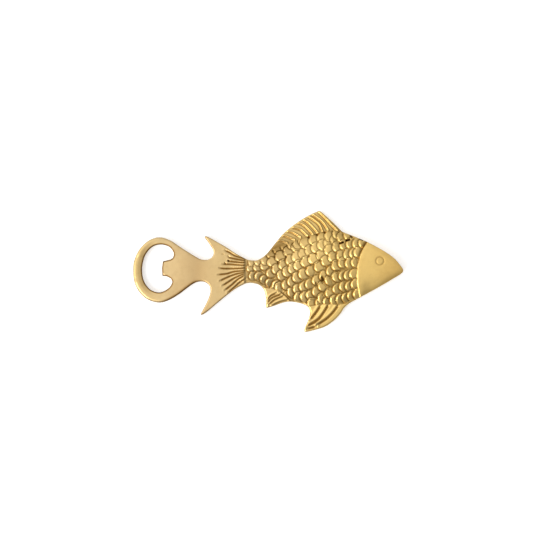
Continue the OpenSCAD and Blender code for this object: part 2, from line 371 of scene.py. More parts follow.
def edge_radius(xy):
    """Radius of the rounding along the silhouette."""
    x = xy[:, 0]
    outer = OUTER_RADIUS + RING_MORE * ramp(x, *RING_START) - HEAD_LESS * ramp(x, *HEAD_START)
    outer = outer - TAIL_LESS * span(x, *TAIL_SPAN)
    in_mouth = distance(xy, mouth_edge) < distance(xy, silhouette) + WELD
    return np.where(in_mouth, MOUTH_RADIUS, outer)


def bevel(xy):
    """How far the ring's inner side has been cut back, opposite the tooth."""
    t = np.clip(1 - distance(xy, mouth_edge) / BEVEL_WIDTH, 0, 1)
    return BEVEL_DEPTH * t ** BEVEL_CURVE * ramp(xy[:, 0], *BEVEL_START)


# Each row of scales: how many, and a curve through the tips, from the head to the tail
SCALE_ROWS = [
    (6, [(18.5, 17.5), (10, 15), (-1, 9.5)]),
    (12, [(39.5, 22), (26.2, 18.4), (12.3, 11.7), (-1.3, 3.6), (-13.4, 1.6)]),
    (12, [(46.3, 21), (31.6, 15), (17.8, 8.6), (2.6, -0.6)]),
    (13, [(55, 17), (47.5, 16), (39.5, 13.5), (30, 8.4), (20.2, 3.8), (12.6, -0.4), (6, -4.6)]),
    (13, [(52.3, 10.7), (46, 9.6), (37.2, 7), (28.3, 1), (18.8, -3.6), (12, -8), (4.5, -11.2)]),
    (11, [(50.6, 4.8), (42.8, 3.4), (36, -1.8), (27, -7.3), (19, -11), (12, -14.4)]),
    (10, [(49.5, -2.5), (39.3, -5.2), (27, -14), (15.6, -17.3)]),
    (6, [(50.4, -9), (41.6, -11.4), (30.8, -18.4)]),
    (8, [(51.7, -15), (43.7, -17.2), (35, -19), (23.6, -20.3)]),
    (4, [(2.6, -7.2), (-1.3, -5.6), (-4.7, -3.5), (-7.9, -1.3)]),
    (3, [(11.5, 19.4), (6.5, 17.2), (2, 13.8)]),
    (1, [(-1.4, -1.2), (-3, -1.2)]),
    (1, [(-12, -3), (-15, -3)]),
    (3, [(-4.3, 6.4), (-8.4, 5.9), (-12.4, 5.6)]),
    (1, [(1.2, -10), (-3, -8.5)]),
]
# Half length and half width of a scale, its size at the tail root as a share of that, and from
# where to where along X it grows to full size
SCALE_HALF = (3.6, 3.55)
TAIL_SCALE = 0.82
GROWTH = (-6, 6)
# Along Y, from where to where the back gives way to the belly
BELLY = (10, -6)
# Along X, from where to where the scales near the gill take on the slope of the belly's
NEAR_GILL = (36, 44)
# Height of a scale's tip, and how fast it falls towards the head, on the back and on the belly
SCALE_TIP = 0.5
SCALE_FALL = (0.08, 0.24)
# How strongly a scale curves down to its sides
SCALE_ROUND = 0.015
# Width of a scale's rounded rim, at its sides and at its tip, and how far the rim drops
SCALE_RIM = (0.75, 1.7)
SCALE_STEP = 0.8
# Height of the bed that shows between scales, how much dirt and painted shade it holds, and from
# where to where along X it sets in
SCALE_BED = -0.6
BED_FILL = 0.5
BED_START = (-15, -13.2)
# Largest random shift and tilt of a scale
SCALE_SHAKE = 0.15
SCALE_TILT = 0.06
# Half width of a crevice, outside a scale's edge and on its rim, and the crevice's depth
SCALE_CREVICE = (0.6, 0.3)
SCALE_GROOVE = 0.22
# Dirt and painted shade in the crevices, on the back and on the belly
SCALE_DIRT_AND_SHADE = (0.62, 0.8)


def scale_places():
    """The centre, the direction towards the head, the size and the tilt of every scale."""
    places = []
    shake = np.random.default_rng(5)
    for count, tips in SCALE_ROWS:
        row = curve(tips)
        at = np.linspace(0, len(row) - 1, max(count, 2))[:count]
        before = np.clip(np.floor(at).astype(int), 0, len(row) - 2)
        step = row[before] - row[before + 1]
        towards = step / np.linalg.norm(step, axis=1)[:, None]
        tip = row[before] - (at - before)[:, None] * step
        tip += shake.uniform(-SCALE_SHAKE, SCALE_SHAKE, tip.shape)
        size = blend(TAIL_SCALE, 1, ramp(tip[:, 0], *GROWTH))
        tilt = shake.uniform(-1, 1, tip.shape) * SCALE_TILT
        places += list(zip(tip + towards * size[:, None] * SCALE_HALF[0], towards, size, tilt))
    return places


def scales(xy):
    """Overlapping scales, each rising to a rounded rim that faces the tail, and the crevices."""
    belly = ramp(xy[:, 1], *BELLY)
    fall = blend(*SCALE_FALL, np.maximum(belly, ramp(xy[:, 0], *NEAR_GILL)))
    bed = ramp(xy[:, 0], *BED_START)
    relief = SCALE_BED * bed
    crevice = BED_FILL * bed
    for centre, towards, size, tilt in sorted(scale_places(), key=lambda place: place[0][0]):
        reach = size * max(SCALE_HALF) + 2 * max(SCALE_CREVICE)
        near = np.flatnonzero((np.abs(xy - centre) < reach).all(1))
        p = xy[near] - centre
        u = p @ towards
        v = p @ np.array([-towards[1], towards[0]])
        rho = np.hypot(u / SCALE_HALF[0], v / SCALE_HALF[1]) / size
        inset = (1 - rho) * size * SCALE_HALF[1]
        top = SCALE_TIP - (fall[near] + tilt[0]) * (u + size * SCALE_HALF[0])
        top += tilt[1] * v - SCALE_ROUND * v * v
        rim = blend(*SCALE_RIM, np.clip(-u / (size * SCALE_HALF[0]), 0, 1))
        top -= SCALE_STEP * (1 - np.sin(0.5 * math.pi * np.clip(inset / rim, 0, 1)))
        outside = inset < 0
        # A scale's foot and the bare bed are darkened, partly with dirt and partly with painted shade
        foot = np.exp(-((inset / np.where(outside, *SCALE_CREVICE)) ** 2))
        crevice[near[outside]] = np.maximum(crevice[near[outside]], foot[outside])
        over = ~outside & (top > relief[near])
        relief[near[over]] = top[over]
        crevice[near[over]] = foot[over]
    return relief - SCALE_GROOVE * crevice, blend(*SCALE_DIRT_AND_SHADE, belly) * crevice


def offset_from(xy, line):
    """Signed distance from a line, positive on its left, and distance from its nearer end."""
    best = np.full(len(xy), np.inf)
    side = np.ones(len(xy))
    for a, b in zip(line[:-1], line[1:]):
        along = b - a
        t = np.clip((xy - a) @ along / (along @ along), 0, 1)
        gap = xy - a - t[:, None] * along
        d = np.hypot(*gap.T)
        closer = d < best
        best[closer] = d[closer]
        side[closer] = np.sign(along[0] * gap[closer, 1] - along[1] * gap[closer, 0] + 1e-12)
    ends = np.minimum(np.hypot(*(xy - line[0]).T), np.hypot(*(xy - line[-1]).T))
    return best * side, ends


# A ray is felt up to this far from its line, and fades over about this length at either end
RAY_REACH = 4
RAY_END = 2.5


def ray(xy, points, cut, ridge):
    """A groove (depth, width, dirt) with a ridge (height, width, place) beside it."""
    line = curve(points)
    near = ((xy > line.min(0) - RAY_REACH) & (xy < line.max(0) + RAY_REACH)).all(1)
    relief, crevice = np.zeros(len(xy)), np.zeros(len(xy))
    if near.any():
        offset, ends = offset_from(xy[near], line)
        full = fade_in(ends, RAY_END)
        depth, half_width, dirt = cut
        height, ridge_width, place = ridge
        groove = hump(offset, half_width) * full
        relief[near] = height * hump(offset - place, ridge_width) * full - depth * groove
        crevice[near] = dirt * groove
    return relief, crevice


# Every ray runs from the free edge of its fin towards the root of it
TAIL_RAYS = [
    [(-26.2, 12.8), (-23, 11.3), (-19.5, 9.3), (-13, 7.4)],
    [(-24.2, 9.2), (-23, 8.3), (-18, 7.2), (-13, 6.5)],
    [(-24.2, 6.3), (-20, 5.7), (-13, 5.3)],
    [(-27.7, 4.3), (-22, 4.2), (-13, 3.6)],
    [(-29.6, 2), (-25, 1.6), (-13, 2)],
    [(-30.4, -2.1), (-25, -1.5), (-20, -0.1), (-13, 0.3)],
    [(-29.2, -5.9), (-25, -3.9), (-20, -1.9), (-13.5, -0.5)],
    [(-27.6, -8.8), (-24, -6.5), (-20, -4), (-13.8, -1.3)],
    [(-26.2, -11.6), (-22, -8.3), (-18.5, -5.2), (-14, -2.4)],
    [(-24.2, -13), (-20, -9.4), (-17, -6.7), (-13.6, -4.6)],
]
DORSAL_RAYS = [
    [(5.2, 18), (8, 18), (11, 17)],
    [(7.8, 21.3), (11, 20.8), (15.5, 19)],
    [(11, 24.1), (15, 23.1), (19.2, 20.6)],
    [(14.2, 26.5), (19, 25.3), (21, 23.8), (23.6, 21.4)],
    [(17.3, 29.4), (21.5, 27.8), (24.5, 25), (27.2, 21.8)],
    [(20.7, 31.5), (24.5, 29.1), (28, 25.5), (30, 23)],
    [(23.7, 33.4), (28, 30.7), (31, 28), (32.7, 24)],
    [(26, 34.8), (29.5, 32.6), (33, 29.7), (36, 25.2)],
    [(30.3, 36.2), (34, 32.8), (38, 28.4), (41.8, 24.6)],
]
ANAL_RAYS = [
    [(-0.2, -17.8), (2, -15), (5.5, -13.2)],
    [(0, -19.4), (2.5, -16.3), (8.5, -13.9)],
    [(0.8, -20.4), (4, -17.6), (10, -14.9)],
    [(3, -20.6), (8, -18.5), (13, -17.4)],
]
PELVIC_RAYS = [
    [(26, -29.6), (29.6, -25.2), (32.4, -20.8)],
    [(24.2, -33.6), (30.5, -29.6), (34, -25.5), (37.2, -20.4)],
    [(30.5, -32.6), (36, -29), (40, -25), (43.3, -20.6)],
    [(24.2, -35.2), (29.5, -33.9)],
]
# For each fin: its rays, the groove's depth, half width and dirt, and the ridge's height, half
# width and place. The tail's rays run on into the tail root.
TAIL = (TAIL_RAYS, (0.5, 0.47, 0.82), (0.1, 0.5, 0.9))
RAYS = {
    "tail_fin": TAIL,
    "tail_root": TAIL,
    "dorsal_fin": (DORSAL_RAYS, (0.4, 0.5, 0.5), (0.5, 0.5, 1.0)),
    "anal_fin": (ANAL_RAYS, (0.45, 0.5, 0.7), (0.25, 0.5, 0.85)),
    "pelvic_fin": (PELVIC_RAYS, (0.7, 0.6, 0.7), (0.35, 0.9, 1.3)),
}
# Casting pits: from where to where, depth, half width and dirt
PITS = [
    ((44, 17), (46, 17.7), 0.8, 0.55, 1),
    ((48.1, 18.7), (50, 19.3), 0.8, 0.55, 1),
    ((50.5, 21.6), (51.5, 21), 0.7, 0.55, 1),
    ((56.2, 19.6), (57.9, 19), 0.5, 0.5, 1),
    ((33.4, -5.4), (33.2, -4.3), 0.5, 1.25, 0.9),
    ((29.5, -8.2), (29.3, -7.2), 0.3, 0.7, 0.65),
    ((-24.2, 6.4), (-23.8, 6.2), 0.5, 0.5, 1),
    ((-26.2, 5.1), (-25.8, 4.8), 0.3, 0.5, 0.6),
    ((-27.9, 10.6), (-27.2, 10.6), 0.12, 0.5, 0.25),
]
# Height of the gill cover's edge, the width of its rounding on the back's side and on the belly's,
# from where to where along Y one gives way to the other, and how far towards the nose it dies away
GILL_STEP = 0.13
GILL_ROUND = (2.6, 0.6)
GILL_TURN = (1, -5)
GILL_FALL = 40
# Groove where the scales meet the gill cover: depth at its upper end, half width and painted shade
# at its lower and upper ends, and from where to where along Y it grows
GAP_DEPTH = 0.45
GAP_WIDTH = (0.6, 1.1)
GAP_SHADE = (0.35, 0.85)
GAP_RANGE = (0, 16)
# The cheek falls away below a sloping line: a place on the line, its slope, how far the cheek
# falls with every millimetre below it, and over what distance from the gill the fall sets in
CHEEK_X = 58
CHEEK_Y = -6
CHEEK_SLOPE = 0.3
CHEEK_FALL = 0.16
CHEEK_START = 8
# The ring engraved in the eye: its radius as a share of the eye's, half width, depth and dirt
EYE_RING = (0.86, 0.4, 0.2, 0.35)
# How far the middle of the eye bulges, and how steeply it does so
EYE_BULGE = 0.06
BULGE_SLOPE = 1.3
# Darker metal: round a place and over the dorsal fin it was polished less, and along the root of
# the dorsal fin and where any fin leaves the body it holds dirt and painted shade. Each is a
# strength, most with the width that it fades over.
UNPOLISHED = (5, 14)
UNPOLISHED_DIRT = (0.3, 9)
DORSAL_BASE_DIRT_AND_SHADE = (0.22, 2.5)
DORSAL_DIRT = 0.11
FIN_BASE_DIRT_AND_SHADE = (0.5, 0.9)


def pit(xy, start, end, depth, width, dirt):
    """A short pit in the surface."""
    offset, _ = offset_from(xy, np.array([start, end], float))
    crevice = np.exp(-((offset / width) ** 4))
    return -depth * crevice, dirt * crevice


def gill_edge(xy):
    """How far the gill cover and the head stand above the scales: a rounded step that dies away."""
    d = distance(xy, gill_line)
    width = blend(*GILL_ROUND, ramp(xy[:, 1], *GILL_TURN))
    rise = np.sin(0.5 * math.pi * np.clip(d / width, 0, 1))
    return GILL_STEP * rise * (1 - smooth(d / GILL_FALL))


# Painted shade on the mouth's edge and its width, and painted shade on the bevel and from where to
# where it sets in
MOUTH_SHADE = (0.8, 0.75)
BEVEL_SHADE = 0.15
BEVEL_SHADE_START = (-68, -76)
# Painted shade along the lower edge and its width, each beside the tail and beside the handle, and
# along X where the handle is and where this shade sets in
LOWER_SHADE = (0.45, 0.85)
LOWER_WIDTH = (0.6, 1.1)
HANDLE_SPAN = ((-67, -60), (-40, -46))
LOWER_START = (-12, -18)


def painted_edge_shade(xy):
    """Painted shade: brown inside the mouth, and along the handle's lower edge."""
    x = xy[:, 0]
    to_mouth = distance(xy, mouth_edge)
    on_bevel = BEVEL_SHADE * smooth(BEVEL_WIDTH - to_mouth) * ramp(x, *BEVEL_SHADE_START)
    in_mouth = np.maximum(MOUTH_SHADE[0] * np.exp(-((to_mouth / MOUTH_SHADE[1]) ** 4)), on_bevel)
    handle = span(x, *HANDLE_SPAN)
    below = hump(distance(xy, lower_edge), blend(*LOWER_WIDTH, handle))
    return np.maximum(in_mouth, blend(*LOWER_SHADE, handle) * below * ramp(x, *LOWER_START))


def head_detail(xy):
    """The head's relief, and the ring engraved in the eye as relief and dirt."""
    below = CHEEK_Y + CHEEK_SLOPE * (xy[:, 0] - CHEEK_X) - xy[:, 1]
    start = smooth(distance(xy, gill_line) / CHEEK_START)
    relief = gill_edge(xy) - CHEEK_FALL * np.log1p(np.exp(below)) * start
    share, half_width, depth, dirt = EYE_RING
    from_middle = np.hypot(*(xy - EYE).T)
    ring = hump(from_middle - share * EYE_R, half_width)
    bulge = EYE_BULGE * smooth(BULGE_SLOPE * (1 - from_middle / EYE_R))
    return relief, (bulge - depth * ring, dirt * ring)


# Widths over which the scales fade out: at the silhouette, at the fins and where the tail begins
SCALE_FADE = (2, 1, 0.5)


def detail(xy, node):
    """What is carved or raised on a node's smooth form, and the dirt and painted shade in its crevices
    and along its edges.
    """
    relief, dirt = np.zeros(len(xy)), np.zeros(len(xy))
    carved = [ray(xy, points, *RAYS[node][1:]) for points in RAYS[node][0]] if node in RAYS else []
    if node in ("body", "tail_fin"):
        carved += [pit(xy, *place) for place in PITS]
    if node in ("body", "tail_root"):
        relief, dirt = scales(xy)
        at_edge, at_fin, at_root = SCALE_FADE
        fade = fade_in(distance(xy, silhouette), at_edge) * fade_in(distance(xy, fin_bases), at_fin)
        fade *= smooth(distance(xy, root_line) / at_root)
        relief, dirt = relief * fade, dirt * fade
    if node in ("body", "dorsal_fin"):
        from_patch = np.hypot(*(xy - UNPOLISHED).T)
        dirt = dirt + UNPOLISHED_DIRT[0] * hump(from_patch, UNPOLISHED_DIRT[1])
        # Dirt and painted shade along the root of the dorsal fin
        dirt = dirt + DORSAL_BASE_DIRT_AND_SHADE[0] * hump(distance(xy, dorsal_base), DORSAL_BASE_DIRT_AND_SHADE[1])
    if node == "dorsal_fin":
        dirt = dirt + DORSAL_DIRT
    if node == "body":
        # Dirt and painted shade where the fins leave the body
        dirt = np.maximum(dirt, FIN_BASE_DIRT_AND_SHADE[0] * hump(distance(xy, fin_bases), FIN_BASE_DIRT_AND_SHADE[1]))
        # Painted shade in the groove where the scales meet the gill cover
        upper = ramp(xy[:, 1], *GAP_RANGE)
        gap = hump(distance(xy, gill_line), blend(*GAP_WIDTH, upper))
        carved.append((-GAP_DEPTH * gap * upper, gap * blend(*GAP_SHADE, upper)))
    if node in HEAD:
        relief, eye_ring = head_detail(xy)
        carved.append(eye_ring)
    for height, darkness in carved:
        relief = relief + height
        dirt = np.maximum(dirt, darkness)
    # Painted shade inside the mouth and along the lower edge goes on top of the dirt
    return relief, np.maximum(dirt, painted_edge_shade(xy))


# Unevenness of the whole surface: height, distance between bumps, and random seed
SWAY = [(0.05, 7, 1), (0.02, 2.6, 2)]


def surface(xy, node):
    """Height of a node's top, and how much dirt and painted shade darken it there, from 0 to 1."""
    base = plate(xy, node)
    if node in DOMED:
        base = base + dome(xy, node)
    if node == "tail_fin":
        base = base + np.maximum(dome(xy, node), 0) * ramp(xy[:, 0], *TAIL_DOME)
    relief, dirt = detail(xy, node)
    sway = sum(height * noise(xy, cell, seed) for height, cell, seed in SWAY)
    round_off = bullnose(distance(xy, silhouette), edge_radius(xy))
    if node == "opener_ring":
        round_off = round_off + bevel(xy)
    return base + relief + sway - round_off, dirt


# ---------------------------------------------------------------- closed meshes

# Distance between a top's points, where it has fine detail and elsewhere
GRID = {"body": 0.25, "dorsal_fin": 0.22, "anal_fin": 0.25, "pelvic_fin": 0.25, "tail_fin": 0.3}
GRID_DEFAULT = 0.4
# Rows of points round the rounded edge, as turns from the wall
EDGE_ROWS = [math.radians(a) for a in (24, 48, 72, 96)]
# A row's point is dropped if it is nearer to the silhouette than this share of its depth
ROW_CLEAR = 0.9
# Distance that a row's points and the grid's keep from a border, in steps of the grid
ROW_TO_BORDER = 0.3
GRID_TO_BORDER = 0.5
# Distance that the grid keeps from the silhouette: in radii of the rounding, plus in steps
GRID_TO_EDGE = (1.1, 0.4)
# Rows of points down the wall to the flat back: height, and inset from the outline
SKIRT_ROWS = [(0.35, 0.0), (0.1, 0.1), (0.0, 0.35)]
# Shares of the inset that are tried in turn, and the distance that a point then has to keep from
# the silhouette and from a border, as shares of what it was moved
SKIRT_SHARES = (0.15, 0.3, 0.5, 0.75, 1.0)
SKIRT_CLEAR = (0.93, 0.5)
# A point takes the least share of its neighbours up to this many places away
SHARE_REACH = 3
# Sides of the eye's outline
EYE_SIDES = 80

turns = np.linspace(0, 2 * math.pi, EYE_SIDES, endpoint=False)
eye_edge = EYE + EYE_R * np.stack([np.cos(turns), np.sin(turns)], axis=1)
# Heights of the outline points that are already built, which a neighbour takes over
border_heights = {}


def hex_grid(low, high, step):
    """Points a step apart, in rows that are shifted by turns."""
    rows = np.arange(low[1], high[1], step * math.sqrt(0.75))
    columns = np.arange(low[0], high[0], step)
    x, y = np.meshgrid(columns, rows)
    x[1::2] += step / 2
    return np.stack([x.ravel(), y.ravel()], axis=1)


def filling(node, loop, inward, step):
    """Points inside an outline: rows that follow the rounded edge, then an even grid."""
    borders = outlines.borders(node)
    radius = edge_radius(loop)
    on_edge = np.flatnonzero(np.any(inward, axis=1))
    kept = []
    for turn in EDGE_ROWS:
        depth = (radius * (1 - math.cos(turn)))[on_edge]
        p = loop[on_edge] + inward[on_edge] * depth[:, None]
        good = distance(p, silhouette) > ROW_CLEAR * depth
        good &= distance(p, borders) > ROW_TO_BORDER * step
        kept.append(p[good & inside(p, loop)])
    grid = hex_grid(loop.min(0), loop.max(0), step)
    grid = grid[inside(grid, loop)]
    radii, steps = GRID_TO_EDGE
    good = distance(grid, silhouette) > radii * edge_radius(grid) + steps * step
    good &= distance(grid, borders) > GRID_TO_BORDER * step
    kept.append(grid[good])
    return np.concatenate(kept)


def triangulate(loops, extra):
    """Triangles over the outlines and the extra points, as indices into all of them in order."""
    points = np.concatenate([*loops, extra])
    edges, start = [], 0
    for loop in loops:
        n = len(loop)
        edges += [(start + i, start + (i + 1) % n) for i in range(n)]
        start += n
    found = delaunay_2d_cdt([Vector(p) for p in points], edges, [], 0, 1e-6)
    co = np.array([tuple(v) for v in found[0]])
    source = np.array([o[0] if o else -1 for o in found[3]])
    if (source < 0).any():
        raise RuntimeError("outlines cross")
    faces = source[np.array(found[2])]
    middle = points[faces].mean(axis=1)
    keep = inside(middle, loops[0])
    for hole in loops[1:]:
        keep &= ~inside(middle, hole)
    faces = faces[keep]
    a, b, c = points[faces[:, 0]], points[faces[:, 1]], points[faces[:, 2]]
    area = (b - a)[:, 0] * (c - a)[:, 1] - (b - a)[:, 1] * (c - a)[:, 0]
    faces[area < 0] = faces[area < 0][:, ::-1]
    return points, faces[np.abs(area) > SLIVER]


def wall(upper, lower):
    """Quads from one closed ring of vertices down to the next, facing outwards."""
    return np.stack([upper, lower, np.roll(lower, -1), np.roll(upper, -1)], axis=1)


def safe_inset(node, loop, inward):
    """The share of the skirt's inset that each point can take, less where the outline is tight."""
    full = max(inset for _, inset in SKIRT_ROWS)
    from_edge, from_border = SKIRT_CLEAR
    share = np.zeros(len(loop))
    for part in SKIRT_SHARES:
        depth = full * part
        moved = loop + inward * depth
        clear = distance(moved, silhouette) > from_edge * depth
        share[clear & (distance(moved, outlines.borders(node)) > from_border * depth)] = part
    reach = range(-SHARE_REACH, SHARE_REACH + 1)
    return np.min([np.roll(share, k) for k in reach], axis=0)[:, None]


def skirt(node, loop, inward, first):
    """Rows of points below the top's edge, whose numbers start at first, and quads between them."""
    share = safe_inset(node, loop, inward)
    floor_z = EYE_FLOOR if node == "eye" else 0.0
    rows, quads = [], []
    ring = np.arange(len(loop))
    for height, inset in SKIRT_ROWS:
        row = loop + inward * share * inset
        rows.append(np.column_stack([row, np.full(len(row), floor_z + height)]))
        below = np.arange(first, first + len(row))
        quads.append(wall(ring, below))
        ring, first = below, first + len(row)
    return rows, np.concatenate(quads), ring


def build(node):
    """A node's closed mesh: vertices, triangles, quads, and what is needed to shade it."""
    step = GRID.get(node, GRID_DEFAULT)
    if node == "eye":
        loop = eye_edge
        inward = np.zeros_like(loop)
        open_side = np.zeros(len(loop), bool)
    else:
        loop, inward, open_side = outlines.fine(node)
    loops = [loop]
    extra = filling(node, loop, inward, step)
    from_eye = np.hypot(*(extra - EYE).T) - EYE_R
    if node == "eye":
        extra = extra[from_eye < -0.5 * step]
    if node == "head":
        extra = extra[from_eye > 0.5 * step]
        loops.append(eye_edge)
    points, top = triangulate(loops, extra)
    z, dirt = surface(points, node)
    for i in range(sum(map(len, loops))):
        key = tuple(np.round(points[i], 4))
        z[i] = border_heights.setdefault(key, z[i])
    rows, quads, ring = skirt(node, loop, inward, len(points))
    co = [np.column_stack([points, z]), *rows]
    _, bottom = triangulate([rows[-1][:, :2]], np.empty((0, 2)))
    tris = [top, ring[bottom][:, ::-1]]
    hidden = []
    if node == "head":
        # The pocket that the eye sits in
        mouth = len(loop) + np.arange(len(eye_edge))
        bed = sum(map(len, co)) + np.arange(len(eye_edge))
        co.append(np.column_stack([eye_edge, np.full(len(eye_edge), EYE_FLOOR)]))
        hidden.append(wall(mouth, bed)[:, ::-1])
        _, bed_faces = triangulate([eye_edge], np.empty((0, 2)))
        tris.append(bed[bed_faces])
    return {
        "node": node,
        "co": np.concatenate(co),
        "tris": np.concatenate(tris),
        "quads": np.concatenate([quads, *hidden]),
        "shown_tris": np.concatenate(tris[:2]),
        "shown_quads": quads[np.tile(open_side, len(SKIRT_ROWS))],
        "dirt": np.concatenate([dirt, np.zeros(sum(map(len, co)) - len(dirt))]),
    }


def face_normals(co, faces):
    """Each triangle's normal, as long as twice its area."""
    a, b, c = co[faces[:, 0]], co[faces[:, 1]], co[faces[:, 2]]
    return np.cross(b - a, c - a)


def weld(built):
    """All vertices, and one number for each place, so that pieces that meet can share normals."""
    co = np.concatenate([b["co"] for b in built])
    _, place = np.unique(np.round(co, 3), axis=0, return_inverse=True)
    return co, place.ravel()


def shared_normals(built):
    """Vertex normals over the whole casting, so that no seam shows between pieces."""
    co, place = weld(built)
    total = np.zeros((place.max() + 1, 3))
    start = 0
    for b in built:
        for faces in (b["shown_tris"], b["shown_quads"][:, [0, 1, 2]], b["shown_quads"][:, [0, 2, 3]]):
            if not len(faces):
                continue
            n = face_normals(co, faces + start)
            for k in range(3):
                where = place[faces[:, k] + start]
                for axis in range(3):
                    total[:, axis] += np.bincount(where, n[:, axis], len(total))
        start += len(b["co"])
    size = np.linalg.norm(total, axis=1)
    total[size < 1e-12] = (0, 0, 1)
    size[size < 1e-12] = 1
    normals = (total / size[:, None])[place]
    return np.split(normals, np.cumsum([len(b["co"]) for b in built])[:-1])


def to_object(b, normals):
    """A Blender object from built arrays, with its own normals and its dirt and painted shade as an
    attribute.
    """
    tris, quads = b["tris"], b["quads"]
    mesh = bpy.data.meshes.new(b["node"] + "_cast")
    mesh.vertices.add(len(b["co"]))
    mesh.vertices.foreach_set("co", (b["co"] * MM).ravel())
    corners = np.concatenate([tris.ravel(), quads.ravel()])
    sizes = np.concatenate([np.full(len(tris), 3), np.full(len(quads), 4)])
    mesh.loops.add(len(corners))
    mesh.loops.foreach_set("vertex_index", corners)
    mesh.polygons.add(len(sizes))
    mesh.polygons.foreach_set("loop_start", np.concatenate([[0], np.cumsum(sizes)[:-1]]))
    mesh.update(calc_edges=True)
    mesh.validate()
    mesh.polygons.foreach_set("use_smooth", np.ones(len(mesh.polygons), bool))
    # This attribute carries dirt and painted shade
    layer = mesh.attributes.new("dirt", "FLOAT", "POINT")
    layer.data.foreach_set("value", b["dirt"].astype(np.float32))
    mesh.normals_split_custom_set_from_vertices(normals)
    piece = bpy.data.objects.new(b["node"] + "_cast", mesh)
    bpy.context.scene.collection.objects.link(piece)
    return piece


# ---------------------------------------------------------------- brass

# The brass along the opener from ring to nose: place from 0 to 1, and colour. Part of it is painted
# light: the stretch at the handle's waist is painted darker as shade, and the head end lighter.
TONES_AND_PAINTED_LIGHT = [
    (0.0, (0.8, 0.58, 0.24)),
    (0.12, (0.79, 0.575, 0.28)),
    (0.24, (0.72, 0.49, 0.22)),
    (0.31, (0.74, 0.53, 0.24)),
    (0.44, (0.82, 0.57, 0.23)),
    (0.6, (0.95, 0.66, 0.24)),
    (0.72, (0.9, 0.62, 0.2)),
    (0.9, (0.93, 0.63, 0.19)),
    (1.0, (0.9, 0.57, 0.15)),
]
# What the brass is multiplied by in its warmer blotches, and how much of that they take
WARM = (0.93, 0.84, 0.7)
WARM_SHARE = 0.25
# Colour where dirt and painted shade are deepest
BLACKENED_AND_SHADED = (0.03, 0.014, 0.003)
# Dirt and painted shade at which the brass has its dark colour, and from which it turns black
DARK_AT = 0.75
# The coat that makes clean brass shine, its roughness, and the dirt and painted shade at which it has
# gone
SHINE = 0.7
SHINE_ROUGHNESS = 0.2
DULL_AT = 0.6
# Noises, each with its scale and levels of detail
BLOTCHES = (90, 4)
GRAIN = (2600, 3)
STAINS = (300, 4)
SCRATCHES = (900, 2)
SCRATCH_STRETCH = (0.12, 1.6, 1)
# The range of a noise that is used, from where it has no effect to where it has all of it
BLOTCH_RANGE = (0.35, 0.65)
STAIN_RANGE = (0.5, 0.8)
GRAIN_RANGE = (0.3, 0.7)
# Dirt that a stain adds
STAIN_DIRT = 0.1
# How far the roughness varies with the grain, and what dirt and painted shade add to it
RUB_SPREAD = 0.06
DIRT_AND_SHADE_ROUGHNESS = 0.2
# Strength and depth of the bumps that the grain and the scratches make
SCRATCH_STRENGTH = 0.12
SCRATCH_DEPTH = 0.2


def set_stops(ramp_node, stops):
    """Give a colour ramp its stops: place from 0 to 1, and colour."""
    elements = ramp_node.color_ramp.elements
    elements.remove(elements[-1])
    elements[0].position = stops[0][0]
    elements[0].color = (*stops[0][1], 1)
    for position, colour in stops[1:]:
        elements.new(position).color = (*colour, 1)


class Shading:
    """The nodes of a material, each added by a short call that returns its output."""

    def __init__(self, name):
        self.material = bpy.data.materials.new(name)
        self.material.use_nodes = True
        self.nodes = self.material.node_tree.nodes
        self.links = self.material.node_tree.links
        self.shader = self.nodes["Principled BSDF"]
        self.place = self.nodes.new("ShaderNodeTexCoord").outputs["Object"]

    def noise(self, scale, levels, stretch=(1, 1, 1)):
        mapping = self.nodes.new("ShaderNodeMapping")
        mapping.inputs["Scale"].default_value = stretch
        self.links.new(self.place, mapping.inputs["Vector"])
        texture = self.nodes.new("ShaderNodeTexNoise")
        texture.inputs["Scale"].default_value = scale
        texture.inputs["Detail"].default_value = levels
        self.links.new(mapping.outputs["Vector"], texture.inputs["Vector"])
        return texture.outputs["Fac"]

    def between(self, value, low, high, low_out, high_out):
        node = self.nodes.new("ShaderNodeMapRange")
        node.inputs["From Min"].default_value = low
        node.inputs["From Max"].default_value = high
        node.inputs["To Min"].default_value = low_out
        node.inputs["To Max"].default_value = high_out
        self.links.new(value, node.inputs["Value"])
        return node.outputs["Result"]

    def mix(self, share, colour, other):
        node = self.nodes.new("ShaderNodeMix")
        node.data_type = "RGBA"
        self.links.new(share, node.inputs["Factor"])
        # The Mix node has sockets for every type of value, and these are the ones for colours
        for value, socket in ((colour, node.inputs[6]), (other, node.inputs[7])):
            if isinstance(value, tuple):
                socket.default_value = (*value, 1)
            else:
                self.links.new(value, socket)
        return node.outputs[2]

    def add(self, value, other):
        node = self.nodes.new("ShaderNodeMath")
        node.operation = "ADD"
        node.use_clamp = True
        self.links.new(value, node.inputs[0])
        self.links.new(other, node.inputs[1])
        return node.outputs[0]

    def multiply(self, colour, by):
        node = self.nodes.new("ShaderNodeVectorMath")
        node.operation = "MULTIPLY"
        self.links.new(colour, node.inputs[0])
        node.inputs[1].default_value = by
        return node.outputs["Vector"]

    def along_x(self, low, high, stops):
        """A colour that depends on the place along X."""
        axes = self.nodes.new("ShaderNodeSeparateXYZ")
        self.links.new(self.place, axes.inputs["Vector"])
        tones = self.nodes.new("ShaderNodeValToRGB")
        set_stops(tones, stops)
        self.links.new(self.between(axes.outputs["X"], low, high, 0, 1), tones.inputs["Fac"])
        return tones.outputs["Color"]

    def attribute(self, name):
        node = self.nodes.new("ShaderNodeAttribute")
        node.attribute_name = name
        return node.outputs["Fac"]

    def bump(self, height, strength, depth):
        node = self.nodes.new("ShaderNodeBump")
        node.inputs["Strength"].default_value = strength
        node.inputs["Distance"].default_value = depth
        self.links.new(height, node.inputs["Height"])
        return node.outputs["Normal"]

    def into(self, socket, value):
        self.links.new(value, self.shader.inputs[socket])


